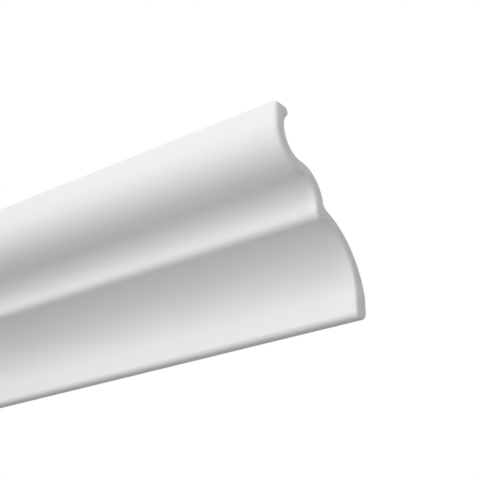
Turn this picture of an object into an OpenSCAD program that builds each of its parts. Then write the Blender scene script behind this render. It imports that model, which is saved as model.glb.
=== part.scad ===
// Crown moulding length: one straight, thin-walled profile, cut square at both ends.
//
// From the ceiling down and back to the wall, the face is a flat fascia, an ovolo
// (a convex quarter round), a narrow soffit, a small cove, a riser that ends in a
// sharp ridge, a ledge, a large cove and a plain lower face with a rounded nose.
// The back follows the face one wall behind it and is open to the corner of the room.
//
// Frame: X along the length, +Y into the wall, +Z up.
// The origin is the middle of the flat seat that lies against the wall.

/* [Overall] */
// Length of the piece, end to end
length = 1000; // [100:10:3000]
// Height of wall that the moulding covers, from the ceiling to the nose
drop = 92; // [84:0.5:150]
// Width of ceiling that the moulding covers, from the wall to the fascia
projection = 77; // [73:0.5:110]

/* [Face, from the ceiling down] */
// Height of the flat fascia under the ceiling
fascia_h = 11; // [6:0.5:16]
// Radius of the ovolo, a convex quarter round
ovolo_r = 21; // [12:0.5:25]
// Width of the narrow soffit between the ovolo and the small cove
soffit_w = 1; // [0.5:0.25:5]
// Radius of the small cove, a concave quarter round
cove_r = 11.5; // [6:0.5:15]
// Height of the riser from the small cove down to the ridge
riser_h = 6.5; // [2:0.5:12]
// Radius of the large cove, a concave quarter round
big_cove_r = 29; // [18:0.5:33]

/* [Walls and back] */
// Thickness of the wall behind the fascia, ovolo, small cove and ledge
wall = 7; // [4:0.25:9]
// Thickness of the wall behind the lower face
base_wall = 9.25; // [7.5:0.25:12]
// Thickness of the wall at the middle of the large cove
big_cove_wall = 6; // [4:0.25:8]
// Radius of the hollow that runs up the back of the fascia to the bead
fascia_back_r = 11.5; // [11:0.5:16]

/* [Rounded edges] */
// Radius of the nose, below the lower face
nose_front_r = 3; // [0.5:0.25:3.5]
// Radius of the nose, below the seat against the wall
nose_back_r = 4; // [0.5:0.25:4]
// Radius of the bead along the back of the seat against the ceiling
bead_r = 2.25; // [1:0.25:3]

/* [Hidden] */
$fn = 96;

// How far a cutting shape reaches past what it cuts
past = 1;

// Points of the face as [depth behind the fascia, height from the ceiling], heights negative
ovolo_c = [ovolo_r, -fascia_h];
soffit_end = ovolo_c + [soffit_w, -ovolo_r];
cove_c = soffit_end - [0, cove_r];
ridge = cove_c + [cove_r, -riser_h];
lower_face_x = projection - base_wall;
big_cove_c = [lower_face_x - big_cove_r, ridge.y - big_cove_r];

// Points of the back
wall_seat_low = [projection, nose_back_r - drop];
wall_seat_top = [projection, big_cove_c.y];
wall_seat_mid = (wall_seat_low + wall_seat_top) / 2;
notch = ridge + [wall, wall];
big_cove_mid = big_cove_c + (big_cove_r + big_cove_wall) * [cos(45), sin(45)];
big_cove_back_c = circle_centre(notch, big_cove_mid, wall_seat_top);
fascia_back_c = [wall + fascia_back_r, -fascia_h];
bead_c = fascia_back_c + across(fascia_back_r + bead_r, fascia_h - bead_r);

// Centre of the circle through three points
function circle_centre(p, q, r) =
    let (a = q - p)
    let (b = r - p)
    p + [b.y * (a * a) - a.y * (b * b), a.x * (b * b) - b.x * (a * a)] / (2 * cross(a, b));

// Step of length reach, up by rise and otherwise towards the face
function across(reach, rise) = [-sqrt(reach * reach - rise * rise), rise];

// Rectangle between its low and high corners
module block(low, high) {
    translate(low)
        square(high - low);
}

// Full circle
module disc(centre, r) {
    translate(centre)
        circle(r);
}

// Quarter circle below (down = true) or above its centre, on the side of the face
module quarter(centre, r, down) {
    intersection() {
        disc(centre, r);
        block(centre - [r, down ? r : 0], centre + [0, down ? 0 : r]);
    }
}

// All that lies behind the face, as far as the wall and the ceiling
module behind_face() {
    corner = [projection, 0];
    block([0, -fascia_h], corner);
    quarter(ovolo_c, ovolo_r, true);
    block([ovolo_r, soffit_end.y], corner);
    difference() {
        block(cove_c, corner);
        disc(cove_c, cove_r);
    }
    block(ridge, corner);
    difference() {
        block(big_cove_c, corner);
        disc(big_cove_c, big_cove_r);
    }
    lower_face();
}

// Lower face down to the nose, with both bottom edges rounded
module lower_face() {
    block([lower_face_x, nose_front_r - drop], [projection - nose_back_r, 0]);
    block([lower_face_x + nose_front_r, -drop], [projection - nose_back_r, 0]);
    block([projection - nose_back_r - past, wall_seat_low.y], [projection, 0]);
    disc([lower_face_x + nose_front_r, nose_front_r - drop], nose_front_r);
    disc(wall_seat_low - [nose_back_r, 0], nose_back_r);
}

// All that lies behind the back, open to the corner of the room
module behind_back() {
    corner = [projection + past, past];
    difference() {
        union() {
            quarter(fascia_back_c, fascia_back_r, false);
            polygon([bead_c, [bead_c.x, past], [fascia_back_c.x, past], fascia_back_c]);
            block(fascia_back_c, corner);
        }
        disc(bead_c, bead_r);
    }
    quarter(ovolo_c, ovolo_r - wall, true);
    block([ovolo_c.x, soffit_end.y + wall], [corner.x, -fascia_h]);
    difference() {
        union() {
            difference() {
                block(cove_c, [corner.x, -fascia_h]);
                disc(cove_c, cove_r + wall);
            }
            block([notch.x, wall_seat_top.y - past], [corner.x, cove_c.y]);
        }
        disc(big_cove_back_c, norm(big_cove_back_c - notch));
    }
}

module profile() {
    difference() {
        behind_face();
        behind_back();
    }
}

module crown_moulding() {
    color("whitesmoke")
        translate([0, -projection, -wall_seat_mid.y])
            rotate([90, 0, 90])
                linear_extrude(length, center = true)
                    profile();
}

crown_moulding();
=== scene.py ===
# Crown moulding length: one straight length with a painted face, a bare back and sawn ends.
from math import atan2, ceil, cos, pi, radians, sin

import bmesh
import bpy
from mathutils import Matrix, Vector


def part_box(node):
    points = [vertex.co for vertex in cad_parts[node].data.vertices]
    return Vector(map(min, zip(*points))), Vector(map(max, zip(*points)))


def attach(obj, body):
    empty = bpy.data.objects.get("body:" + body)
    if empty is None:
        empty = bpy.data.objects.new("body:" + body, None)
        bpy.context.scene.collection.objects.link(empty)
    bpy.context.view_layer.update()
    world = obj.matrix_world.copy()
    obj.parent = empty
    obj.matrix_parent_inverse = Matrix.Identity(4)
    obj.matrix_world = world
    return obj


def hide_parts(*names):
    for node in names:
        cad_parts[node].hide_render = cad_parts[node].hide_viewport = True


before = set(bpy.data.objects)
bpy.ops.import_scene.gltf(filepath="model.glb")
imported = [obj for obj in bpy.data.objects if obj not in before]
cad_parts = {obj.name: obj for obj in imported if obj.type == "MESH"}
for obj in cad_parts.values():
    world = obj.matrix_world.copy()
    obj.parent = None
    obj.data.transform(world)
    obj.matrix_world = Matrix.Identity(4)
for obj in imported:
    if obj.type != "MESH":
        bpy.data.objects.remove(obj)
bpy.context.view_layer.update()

low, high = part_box("crown_moulding")


# ---- small helpers for node trees

# the mix node's colour sockets share their names with its number sockets, so they go by place
colourA = 6
colourB = 7
colourResult = 2


def addNode(tree, kind, **settings):
    node = tree.nodes.new(kind)
    for name, value in settings.items():
        setattr(node, name, value)
    return node


def setInputs(node, values):
    for name, value in values.items():
        node.inputs[name].default_value = value


def freshMaterial(name, shaderValues):
    material = bpy.data.materials.new(name)
    material.use_nodes = True
    tree = material.node_tree
    shader = tree.nodes["Principled BSDF"]
    setInputs(shader, shaderValues)
    return material, tree, shader


def makeGroup(name, inputs, outputs):
    # each socket is a name and its kind
    group = bpy.data.node_groups.new(name, "ShaderNodeTree")
    for socket, kind in inputs.items():
        group.interface.new_socket(socket, in_out="INPUT", socket_type="NodeSocket" + kind)
    for socket, kind in outputs.items():
        group.interface.new_socket(socket, in_out="OUTPUT", socket_type="NodeSocket" + kind)
    return group, addNode(group, "NodeGroupInput"), addNode(group, "NodeGroupOutput")


# ---- what more than one finish uses

grainNoise = {
    "fine": {"Detail": 3.0, "Roughness": 0.55},
    "broad": {"Detail": 4.0, "Roughness": 0.6},
    "low": 0.3,    # nearly all of a noise lies between these two
    "high": 0.7,
}


def makeGrainGroup():
    # two sizes of noise on a point: a height for the bump and a soft mask for the colour
    inputs = {"Point": "Vector", "Fine Scale": "Float", "Broad Scale": "Float", "Broad Share": "Float"}
    group, start, end = makeGroup("fine grain", inputs, {"Height": "Float", "Mask": "Float"})
    fine = addNode(group, "ShaderNodeTexNoise")
    setInputs(fine, grainNoise["fine"])
    broad = addNode(group, "ShaderNodeTexNoise")
    setInputs(broad, grainNoise["broad"])
    both = addNode(group, "ShaderNodeMix", data_type="FLOAT")
    link = group.links.new
    link(start.outputs["Point"], fine.inputs["Vector"])
    link(start.outputs["Point"], broad.inputs["Vector"])
    link(start.outputs["Fine Scale"], fine.inputs["Scale"])
    link(start.outputs["Broad Scale"], broad.inputs["Scale"])
    link(start.outputs["Broad Share"], both.inputs["Factor"])
    link(fine.outputs["Fac"], both.inputs["A"])
    link(broad.outputs["Fac"], both.inputs["B"])
    link(both.outputs["Result"], end.inputs["Height"])
    link(broad.outputs["Fac"], end.inputs["Mask"])
    return group


edgeWear = {
    "samples": 4,
    "start": 0.995,    # how alike the true and the rounded normal are where the wear begins
    "full": 0.85,      # and where it is full
}


def makeEdgeGroup():
    # rises where two faces meet, and the break-up value makes it come and go
    inputs = {"Radius": "Float", "Break Up": "Float", "Share": "Float"}
    group, start, end = makeGroup("edge wear", inputs, {"Mask": "Float"})
    rounded = addNode(group, "ShaderNodeBevel", samples=edgeWear["samples"])
    surface = addNode(group, "ShaderNodeNewGeometry")
    alike = addNode(group, "ShaderNodeVectorMath", operation="DOT_PRODUCT")
    edge = addNode(group, "ShaderNodeMapRange")
    setInputs(edge, {"From Min": edgeWear["start"], "From Max": edgeWear["full"]})
    patchy = addNode(group, "ShaderNodeMath", operation="MULTIPLY")
    share = addNode(group, "ShaderNodeMath", operation="MULTIPLY")
    link = group.links.new
    link(start.outputs["Radius"], rounded.inputs["Radius"])
    link(rounded.outputs["Normal"], alike.inputs[0])
    link(surface.outputs["Normal"], alike.inputs[1])
    link(alike.outputs["Value"], edge.inputs["Value"])
    link(edge.outputs["Result"], patchy.inputs[0])
    link(start.outputs["Break Up"], patchy.inputs[1])
    link(patchy.outputs["Value"], share.inputs[0])
    link(start.outputs["Share"], share.inputs[1])
    link(share.outputs["Value"], end.inputs["Mask"])
    return group


grainGroup = makeGrainGroup()
edgeGroup = makeEdgeGroup()


def addGrain(tree, values):
    place = addNode(tree, "ShaderNodeTexCoord")
    mapping = addNode(tree, "ShaderNodeMapping", vector_type="TEXTURE")
    mapping.inputs["Scale"].default_value = values["stretch"]
    mapping.inputs["Rotation"].default_value = (radians(values["tilt"]), 0, 0)
    grain = addNode(tree, "ShaderNodeGroup", node_tree=grainGroup)
    setInputs(grain, {
        "Fine Scale": values["grainPerMetre"],
        "Broad Scale": values["patchPerMetre"],
        "Broad Share": values["patchShare"],
    })
    tree.links.new(place.outputs["Object"], mapping.inputs["Vector"])
    tree.links.new(mapping.outputs["Vector"], grain.inputs["Point"])
    return grain


def addTint(tree, shader, mask, values):
    # a mask from a noise, spread about its middle, blends two close colours
    ramp = addNode(tree, "ShaderNodeMapRange")
    setInputs(ramp, {"From Min": 0.5 - values["spread"], "From Max": 0.5 + values["spread"]})
    tint = addNode(tree, "ShaderNodeMix", data_type="RGBA")
    tint.inputs[colourA].default_value = (*values["dark"], 1.0)
    tint.inputs[colourB].default_value = (*values["light"], 1.0)
    tree.links.new(mask, ramp.inputs["Value"])
    tree.links.new(ramp.outputs["Result"], tint.inputs["Factor"])
    tree.links.new(tint.outputs[colourResult], shader.inputs["Base Color"])


def layColour(tree, shader, mask, colour):
    # puts a colour over the one already there
    under = shader.inputs["Base Color"].links[0].from_socket
    over = addNode(tree, "ShaderNodeMix", data_type="RGBA")
    over.inputs[colourB].default_value = (*colour, 1.0)
    tree.links.new(mask, over.inputs["Factor"])
    tree.links.new(under, over.inputs[colourA])
    tree.links.new(over.outputs[colourResult], shader.inputs["Base Color"])


def addWear(tree, shader, breakUp, values):
    edge = addNode(tree, "ShaderNodeGroup", node_tree=edgeGroup)
    setInputs(edge, {"Radius": values["wearRadius"], "Share": values["wearShare"]})
    tree.links.new(breakUp, edge.inputs["Break Up"])
    layColour(tree, shader, edge.outputs["Mask"], values["worn"])


def addPores(tree, shader, height, values):
    # open cells in the foam: small dark dots, and pits in the height that comes back
    place = addNode(tree, "ShaderNodeTexCoord")
    cells = addNode(tree, "ShaderNodeTexVoronoi")
    cells.inputs["Scale"].default_value = values["poresPerMetre"]
    pore = addNode(tree, "ShaderNodeMapRange")
    setInputs(pore, {"From Min": values["poreSize"], "From Max": 0.5 * values["poreSize"]})
    pitted = addNode(tree, "ShaderNodeMath", operation="SUBTRACT")
    tree.links.new(place.outputs["Object"], cells.inputs["Vector"])
    tree.links.new(cells.outputs["Distance"], pore.inputs["Value"])
    tree.links.new(height, pitted.inputs[0])
    tree.links.new(pore.outputs["Result"], pitted.inputs[1])
    layColour(tree, shader, pore.outputs["Result"], values["pore"])
    return pitted.outputs["Value"]


def addSheen(tree, shader, value, values):
    # roughness between two values
    ramp = addNode(tree, "ShaderNodeMapRange")
    setInputs(ramp, {"From Min": grainNoise["low"], "From Max": grainNoise["high"]})
    setInputs(ramp, {"To Min": values["smooth"], "To Max": values["rough"]})
    tree.links.new(value, ramp.inputs["Value"])
    tree.links.new(ramp.outputs["Result"], shader.inputs["Roughness"])


def addBump(tree, shader, height, depth):
    bump = addNode(tree, "ShaderNodeBump")
    setInputs(bump, {"Strength": 1.0, "Distance": depth})
    tree.links.new(height, bump.inputs["Height"])
    tree.links.new(bump.outputs["Normal"], shader.inputs["Normal"])


# ---- the finishes

paintedFace = {
    "ior": 1.46,
    "dark": (0.80, 0.80, 0.79),
    "light": (0.83, 0.83, 0.825),
    "spread": 0.25,
    "smooth": 0.56,
    "rough": 0.68,
    "grainPerMetre": 700.0,
    "patchPerMetre": 14.0,
    "patchShare": 0.1,
    "stretch": (3.0, 1.0, 1.0),    # the grain is drawn out along the length
    "tilt": 0.0,
    "depth": 0.00004,
    "worn": (0.70, 0.69, 0.66),
    "wearRadius": 0.0012,
    "wearShare": 0.3,
}

bareBack = {
    "ior": 1.46,
    "dark": (0.74, 0.735, 0.715),
    "light": (0.79, 0.785, 0.77),
    "spread": 0.2,
    "smooth": 0.55,
    "rough": 0.75,
    "grainPerMetre": 320.0,
    "patchPerMetre": 9.0,
    "patchShare": 0.3,
    "stretch": (8.0, 1.0, 1.0),    # the skin has faint lines along the length
    "tilt": 0.0,
    "depth": 0.0002,
    "worn": (0.66, 0.65, 0.62),
    "wearRadius": 0.0015,
    "wearShare": 0.4,
}

sawnEnd = {
    "ior": 1.46,
    "dark": (0.76, 0.755, 0.74),
    "light": (0.83, 0.83, 0.82),
    "spread": 0.25,
    "smooth": 0.65,
    "rough": 0.85,
    "grainPerMetre": 1500.0,
    "patchPerMetre": 110.0,
    "patchShare": 0.25,
    "stretch": (1.0, 9.0, 1.0),    # long scores from the saw
    "tilt": 14.0,                  # degrees off level
    "depth": 0.00015,
    "poresPerMetre": 1600.0,
    "poreSize": 0.26,              # share of the spacing
    "pore": (0.58, 0.57, 0.55),
    "worn": (0.72, 0.715, 0.70),
    "wearRadius": 0.0006,
    "wearShare": 0.4,
}


def makeFinish(name, values):
    material, tree, shader = freshMaterial(name, {"IOR": values["ior"]})
    grain = addGrain(tree, values)
    height = grain.outputs["Height"]
    mask = grain.outputs["Mask"]
    addTint(tree, shader, mask, values)
    addSheen(tree, shader, height, values)
    if "poresPerMetre" in values:
        height = addPores(tree, shader, height, values)
    addWear(tree, shader, mask, values)
    addBump(tree, shader, height, values["depth"])
    return material


# ---- the moulding, in metres

moulding = {
    "fasciaHeight": 0.011,
    "ovoloRadius": 0.021,
    "soffitWidth": 0.001,
    "coveRadius": 0.0115,
    "riserHeight": 0.0069,
    "bigCoveRadius": 0.029,
    "wall": 0.007,
    "notchWall": 0.0076,      # at the ridge
    "baseWall": 0.00925,
    "bigCoveWall": 0.006,
    "fasciaBackRadius": 0.0085,
    "noseFrontRadius": 0.003,
    "noseBackRadius": 0.004,
    "beadRadius": 0.0029,
    "ridgeRadius": 0.0046,
    "hollowRadius": 0.005,    # in the back, where the two coves meet
    "endEase": 0.0020,        # how far the sawn ends are rounded along the length, at the top of the face
    "easeAcross": 1.5,        # times as far over the end face
    "lowEase": 0.6,           # share of endEase at the foot of the face
    "backEase": 0.1,          # share of endEase round the back
    "easeSteps": 5,
    "topEase": 0.00015,       # radius along the fascia's top edge
    "topEaseSteps": 3,
    "arcStep": 3.0,           # degrees of arc to each edge
    "lengthCuts": 39,
    "seed": 0.001,            # the outline starts as a plane this wide, merged to a point
    "mergeWithin": 0.000002,
    "smoothUnder": 35.0,      # degrees between faces that shade as one
}


def circleThrough(a, b, c):
    p, q = b - a, c - a
    cross = 2 * (p.x * q.y - p.y * q.x)
    return a + Vector((q.y * p.dot(p) - p.y * q.dot(q), p.x * q.dot(q) - q.x * p.dot(p))) / cross


def circlesMeet(a, aRadius, b, bRadius):
    # of the two crossings, the one to the right of the way from a to b
    way = b - a
    along = (way.length_squared + aRadius ** 2 - bRadius ** 2) / (2 * way.length)
    aside = (aRadius ** 2 - along ** 2) ** 0.5
    step = way.normalized()
    return a + step * along + Vector((step.y, -step.x)) * aside


def penPlace(piece):
    # where the outline has got to, as depth and height
    mesh = bmesh.from_edit_mesh(piece.data)
    last = next(vertex for vertex in mesh.verts if vertex.select)
    return Vector((last.co.y, last.co.z))


def lineTo(piece, place):
    step = place - penPlace(piece)
    bpy.ops.mesh.extrude_vertices_move(TRANSFORM_OT_translate={"value": (0, step.x, step.y)})


roundingSlack = 0.001    # in edges of an arc, so that a whole number of them isn't rounded up


def arcTo(piece, centre, place):
    start = penPlace(piece) - centre
    end = place - centre
    turn = (atan2(end.y, end.x) - atan2(start.y, start.x) + pi) % (2 * pi) - pi
    bpy.ops.mesh.spin(
        steps=ceil(abs(turn) / radians(moulding["arcStep"]) - roundingSlack),
        angle=-turn,  # spin turns the other way round its axis
        center=(low.x, centre.x, centre.y),
        axis=(1, 0, 0),
    )


def startOutline(name, place):
    bpy.ops.object.select_all(action="DESELECT")
    bpy.ops.mesh.primitive_plane_add(size=moulding["seed"], location=(low.x, place.x, place.y))
    bpy.ops.object.transform_apply(location=True, rotation=False, scale=False)
    piece = bpy.context.object
    piece.name = name
    piece.data.name = name
    bpy.ops.object.mode_set(mode="EDIT")
    bpy.ops.mesh.select_mode(type="VERT")
    bpy.ops.mesh.select_all(action="SELECT")
    bpy.ops.mesh.merge(type="CENTER")
    return piece


def drawProfile(piece, size):
    # down the front, from the fascia's top edge to the foot of the wall seat, then up the back
    wallFace = high.y
    topCorner = Vector((low.y, high.z))
    fasciaEnd = topCorner - Vector((0, size["fasciaHeight"]))
    ovoloCentre = fasciaEnd + Vector((size["ovoloRadius"], 0))
    ovoloEnd = ovoloCentre - Vector((0, size["ovoloRadius"]))
    soffitEnd = ovoloEnd + Vector((size["soffitWidth"], 0))
    coveCentre = soffitEnd - Vector((0, size["coveRadius"]))
    riserTop = coveCentre + Vector((size["coveRadius"], 0))
    ridge = riserTop - Vector((0, size["riserHeight"]))
    ridgeCentre = ridge + Vector((size["ridgeRadius"], size["ridgeRadius"]))
    lowerFace = wallFace - size["baseWall"]
    bigCoveTop = Vector((lowerFace - size["bigCoveRadius"], ridge.y))
    bigCoveCentre = bigCoveTop - Vector((0, size["bigCoveRadius"]))
    bigCoveEnd = bigCoveCentre + Vector((size["bigCoveRadius"], 0))
    noseFrontCentre = Vector((lowerFace + size["noseFrontRadius"], low.z + size["noseFrontRadius"]))
    noseBackCentre = Vector((wallFace - size["noseBackRadius"], low.z + size["noseBackRadius"]))

    lineTo(piece, fasciaEnd)
    arcTo(piece, ovoloCentre, ovoloEnd)
    lineTo(piece, soffitEnd)
    arcTo(piece, coveCentre, riserTop)
    lineTo(piece, ridgeCentre - Vector((size["ridgeRadius"], 0)))
    arcTo(piece, ridgeCentre, ridgeCentre - Vector((0, size["ridgeRadius"])))
    lineTo(piece, bigCoveTop)
    arcTo(piece, bigCoveCentre, bigCoveEnd)
    lineTo(piece, noseFrontCentre - Vector((size["noseFrontRadius"], 0)))
    arcTo(piece, noseFrontCentre, noseFrontCentre - Vector((0, size["noseFrontRadius"])))
    lineTo(piece, noseBackCentre - Vector((0, size["noseBackRadius"])))
    arcTo(piece, noseBackCentre, noseBackCentre + Vector((size["noseBackRadius"], 0)))

    # the back of the profile, from the wall seat up to the bead
    wall = size["wall"]
    seatTop = Vector((wallFace, bigCoveCentre.y))
    notch = ridge + Vector((size["notchWall"], size["notchWall"]))
    slant = Vector((1, 1)).normalized()
    bigCoveMid = bigCoveCentre + (size["bigCoveRadius"] + size["bigCoveWall"]) * slant
    bigCoveBack = circleThrough(notch, bigCoveMid, seatTop)
    coveBackTop = soffitEnd + Vector((0, wall))
    ovoloBackTop = fasciaEnd + Vector((wall, 0))
    fasciaBack = fasciaEnd + Vector((wall + size["fasciaBackRadius"], 0))
    reach = size["fasciaBackRadius"] + size["beadRadius"]
    rise = size["fasciaHeight"] - size["beadRadius"]
    bead = fasciaBack + Vector((-(reach ** 2 - rise ** 2) ** 0.5, rise))
    beadJoin = fasciaBack + (bead - fasciaBack) * size["fasciaBackRadius"] / reach

    # the hollow touches the backs of both coves
    hollow = size["hollowRadius"]
    bigCoveReach = (notch - bigCoveBack).length
    coveReach = size["coveRadius"] + wall
    hollowCentre = circlesMeet(bigCoveBack, bigCoveReach + hollow, coveCentre, coveReach + hollow)
    lineTo(piece, seatTop)
    arcTo(piece, bigCoveBack, bigCoveBack + (hollowCentre - bigCoveBack).normalized() * bigCoveReach)
    arcTo(piece, hollowCentre, coveCentre + (hollowCentre - coveCentre).normalized() * coveReach)
    arcTo(piece, coveCentre, coveBackTop)
    lineTo(piece, ovoloEnd + Vector((0, wall)))
    arcTo(piece, ovoloCentre, ovoloBackTop)
    arcTo(piece, fasciaBack, beadJoin)
    arcTo(piece, bead, bead + Vector((0, size["beadRadius"])))
    lineTo(piece, topCorner)


def selectEdges(piece, test):
    bpy.ops.mesh.select_mode(type="EDGE")
    bpy.ops.mesh.select_all(action="DESELECT")
    mesh = bmesh.from_edit_mesh(piece.data)
    for edge in mesh.edges:
        if test(edge):
            edge.select_set(True)
    bmesh.update_edit_mesh(piece.data)


def selectFaces(piece, test):
    bpy.ops.mesh.select_mode(type="FACE")
    bpy.ops.mesh.select_all(action="DESELECT")
    mesh = bmesh.from_edit_mesh(piece.data)
    for face in mesh.faces:
        if test(face):
            face.select_set(True)
    bmesh.update_edit_mesh(piece.data)


sharpCorner = 0.5    # the ways in of two edges are less alike than this where they make a corner
capNormal = 0.95     # how square to the length a sawn face is
backNormal = 0.05    # how far a face has to look back or up to be bare
topShare = 0.01      # of endEase: how far a top-edge point has to move back and down, at the least


def planEase(piece, size):
    # each point of the profile keeps how far its end rounding reaches, and which way it moves in
    mesh = bmesh.from_edit_mesh(piece.data)
    reach = mesh.verts.layers.float.new("reach")
    inward = mesh.verts.layers.float_vector.new("inward")
    for vertex in mesh.verts:
        waysIn = [edge.calc_tangent(edge.link_loops[0]) for edge in vertex.link_edges]
        height = (vertex.co.z - low.z) / (high.z - low.z)
        front = size["lowEase"] + (1.0 - size["lowEase"]) * height
        eases = []
        for wayIn in waysIn:
            # 1 where the surface looks out or down into the room, 0 where it looks back or up
            facing = min(1.0, max(0.0, 0.5 + 0.5 * (wayIn.y + wayIn.z)))
            eases.append(size["endEase"] * (size["backEase"] + (front - size["backEase"]) * facing))
        vertex[reach] = max(eases)
        if waysIn[0].dot(waysIn[1]) < sharpCorner:
            way = waysIn[0] * eases[0] + waysIn[1] * eases[1]
        else:
            way = (waysIn[0] + waysIn[1]).normalized() * sum(eases) / 2
        vertex[inward] = Vector((0, way.y, way.z)) * size["easeAcross"]
    bmesh.update_edit_mesh(piece.data)


def easeEnd(piece, size, side):
    # the rounding is made of rings, each pushed out from the end face and drawn in
    selectFaces(piece, lambda face: face.normal.x * side > capNormal)
    for step in range(size["easeSteps"] + 1):
        bpy.ops.mesh.extrude_region_move(TRANSFORM_OT_translate={"value": (0, 0, 0)})
        mesh = bmesh.from_edit_mesh(piece.data)
        reach = mesh.verts.layers.float["reach"]
        inward = mesh.verts.layers.float_vector["inward"]
        now = radians(90 * step / size["easeSteps"])
        before = radians(90 * max(step - 1, 0) / size["easeSteps"])
        for vertex in mesh.verts:
            if not vertex.select:
                continue
            if step == 0:
                vertex.co.x += side * (size["endEase"] - vertex[reach])
            else:
                vertex.co.x += side * vertex[reach] * (sin(now) - sin(before))
                vertex.co += vertex[inward] * (cos(before) - cos(now))
        bmesh.update_edit_mesh(piece.data)


def easeTopEdge(piece, size):
    # the fascia's top edge is the one corner whose way in points both back and down
    inward = bmesh.from_edit_mesh(piece.data).verts.layers.float_vector["inward"]
    least = topShare * size["endEase"]

    def onTopEdge(edge):
        return all(v[inward].y > least and v[inward].z < -least for v in edge.verts)

    selectEdges(piece, onTopEdge)
    bpy.ops.mesh.bevel(offset=size["topEase"], segments=size["topEaseSteps"], affect="EDGES")
    mesh = bmesh.from_edit_mesh(piece.data)
    for vertex in mesh.verts:
        vertex.co.x = min(high.x, max(low.x, vertex.co.x))  # the bevel strays a hair past the ends
    bmesh.update_edit_mesh(piece.data)


def giveSlot(piece, number, test):
    selectFaces(piece, test)
    piece.active_material_index = number
    bpy.ops.object.material_slot_assign()


def makeMoulding():
    size = moulding
    piece = startOutline("crown_moulding_length", Vector((low.y, high.z)))
    drawProfile(piece, size)
    bpy.ops.mesh.select_all(action="SELECT")
    bpy.ops.mesh.remove_doubles(threshold=size["mergeWithin"])
    bpy.ops.mesh.edge_face_add()
    bpy.ops.transform.translate(value=(size["endEase"], 0, 0))
    planEase(piece, size)
    straight = high.x - low.x - 2 * size["endEase"]
    bpy.ops.mesh.extrude_region_move(TRANSFORM_OT_translate={"value": (straight, 0, 0)})
    bpy.ops.mesh.select_all(action="SELECT")
    bpy.ops.mesh.normals_make_consistent(inside=False)
    easeEnd(piece, size, -1)
    easeEnd(piece, size, 1)
    selectEdges(piece, lambda edge: edge.calc_length() > 0.5 * straight)
    bpy.ops.mesh.subdivide(number_cuts=size["lengthCuts"])
    easeTopEdge(piece, size)

    piece.data.materials.append(makeFinish("white paint", paintedFace))
    piece.data.materials.append(makeFinish("bare foam skin", bareBack))
    piece.data.materials.append(makeFinish("sawn foam", sawnEnd))
    giveSlot(piece, 1, lambda face: face.normal.y + face.normal.z > backNormal)
    giveSlot(piece, 2, lambda face: abs(face.normal.x) > capNormal)
    bpy.ops.object.mode_set(mode="OBJECT")
    for name in ("reach", "inward"):
        piece.data.attributes.remove(piece.data.attributes[name])
    bpy.ops.object.shade_smooth_by_angle(angle=radians(size["smoothUnder"]))

    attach(piece, "root")
    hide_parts("crown_moulding")
    print("moulding:", len(piece.data.polygons), "faces")


# ---- camera, floor and light

cameraPlace = {
    "right": 0.2426,      # from the right-hand end of the fascia's top edge
    "front": 0.3517,
    "below": 0.2736,
    "turn": 36.92,
    "tilt": 24.905,
    "lens": 77.5,
    "sensor": 36.0,
    "clipStart": 0.01,
}


def makeCamera():
    values = cameraPlace
    place = (high.x + values["right"], low.y - values["front"], high.z - values["below"])
    turn = (radians(90 + values["tilt"]), 0, radians(values["turn"]))
    bpy.ops.object.camera_add(location=place, rotation=turn)
    camera = bpy.context.object
    camera.name = "camera"
    camera.data.lens = values["lens"]
    camera.data.sensor_width = values["sensor"]
    camera.data.clip_start = values["clipStart"]
    bpy.context.scene.camera = camera
    print("camera placed")


studio = {
    "floorBelow": 4.0,
    "floorSize": 12.0,
    "floorRoughness": 0.8,
    "backdrop": 1.0,      # what the camera sees behind the moulding
    "roomLight": 0.71,    # what lights it from all round, above floor level
    "aimFromEnd": 0.1,    # the lamps point at the face, this far from its right end
}

floorFinish = {
    "dark": (0.6111, 0.6111, 0.60625),
    "light": (0.63, 0.63, 0.625),
    "spread": 0.3,
    "grainPerMetre": 60.0,
    "patchPerMetre": 2.0,
    "patchShare": 0.5,
    "stretch": (1.0, 1.0, 1.0),
    "tilt": 0.0,
}

softboxes = {
    "key": {"turn": 8.0, "rise": 28.0, "away": 2.0, "size": 1.2, "watts": 13.6},
    "low front": {"turn": 4.0, "rise": -6.0, "away": 2.0, "size": 1.2, "watts": 7.1},
    "left side": {"turn": -70.0, "rise": 10.0, "away": 2.0, "size": 1.2, "watts": 2.2},
    "low fill": {"turn": 24.0, "rise": -18.0, "away": 0.7, "size": 0.4, "watts": 1.05},
}


def makeFloor():
    bpy.ops.object.select_all(action="DESELECT")
    bpy.ops.mesh.primitive_plane_add(size=studio["floorSize"], location=(0, 0, low.z - studio["floorBelow"]))
    bpy.ops.object.transform_apply(location=True, rotation=False, scale=False)
    floor = bpy.context.object
    floor.name = "floor"
    material, tree, shader = freshMaterial("studio floor", {"Roughness": studio["floorRoughness"]})
    grain = addGrain(tree, floorFinish)
    addTint(tree, shader, grain.outputs["Mask"], floorFinish)
    floor.data.materials.append(material)


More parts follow.
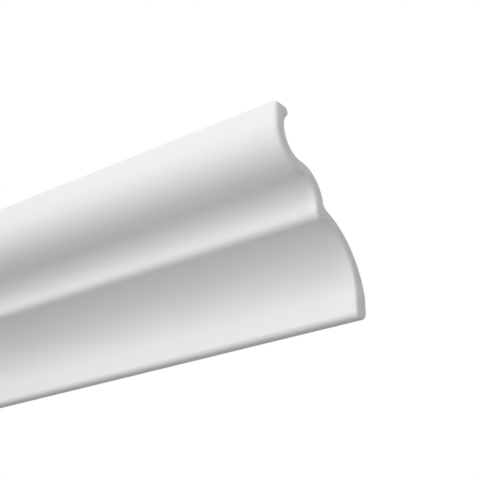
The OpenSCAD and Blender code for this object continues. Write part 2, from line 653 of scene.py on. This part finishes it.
def makeWorld():
    # a white backdrop for the camera, and a weaker light from above floor level for the rest
    world = bpy.data.worlds.new("studio")
    bpy.context.scene.world = world
    world.use_nodes = True
    tree = world.node_tree
    tree.nodes.clear()
    path = addNode(tree, "ShaderNodeLightPath")
    place = addNode(tree, "ShaderNodeTexCoord")
    parts = addNode(tree, "ShaderNodeSeparateXYZ")
    above = addNode(tree, "ShaderNodeMath", operation="GREATER_THAN")
    above.inputs[1].default_value = 0.0
    strength = addNode(tree, "ShaderNodeMath", operation="MULTIPLY")
    strength.inputs[1].default_value = studio["roomLight"]
    room = addNode(tree, "ShaderNodeBackground")
    room.inputs["Color"].default_value = (1, 1, 1, 1)
    tree.links.new(place.outputs["Generated"], parts.inputs[0])
    tree.links.new(parts.outputs["Z"], above.inputs[0])
    tree.links.new(above.outputs[0], strength.inputs[0])
    tree.links.new(strength.outputs[0], room.inputs["Strength"])
    backdrop = addNode(tree, "ShaderNodeBackground")
    setInputs(backdrop, {"Color": (1, 1, 1, 1), "Strength": studio["backdrop"]})
    pick = addNode(tree, "ShaderNodeMixShader")
    end = addNode(tree, "ShaderNodeOutputWorld")
    tree.links.new(path.outputs["Is Camera Ray"], pick.inputs[0])
    tree.links.new(room.outputs[0], pick.inputs[1])
    tree.links.new(backdrop.outputs[0], pick.inputs[2])
    tree.links.new(pick.outputs[0], end.inputs["Surface"])


def makeSoftbox(name, values):
    turn = radians(values["turn"])
    rise = radians(values["rise"])
    target = Vector((high.x - studio["aimFromEnd"], low.y, (low.z + high.z) / 2))
    towards = Vector((sin(turn) * cos(rise), -cos(turn) * cos(rise), sin(rise)))
    place = target + towards * values["away"]
    bpy.ops.object.light_add(type="AREA", location=place)
    lamp = bpy.context.object
    lamp.name = name
    lamp.rotation_euler = towards.to_track_quat("Z", "Y").to_euler()
    lamp.data.shape = "SQUARE"
    lamp.data.size = values["size"]
    lamp.data.energy = values["watts"]


makeCamera()
makeMoulding()
makeFloor()
makeWorld()
for name, values in softboxes.items():
    makeSoftbox(name, values)
bpy.context.scene.view_settings.view_transform = "Standard"
print("studio lit")
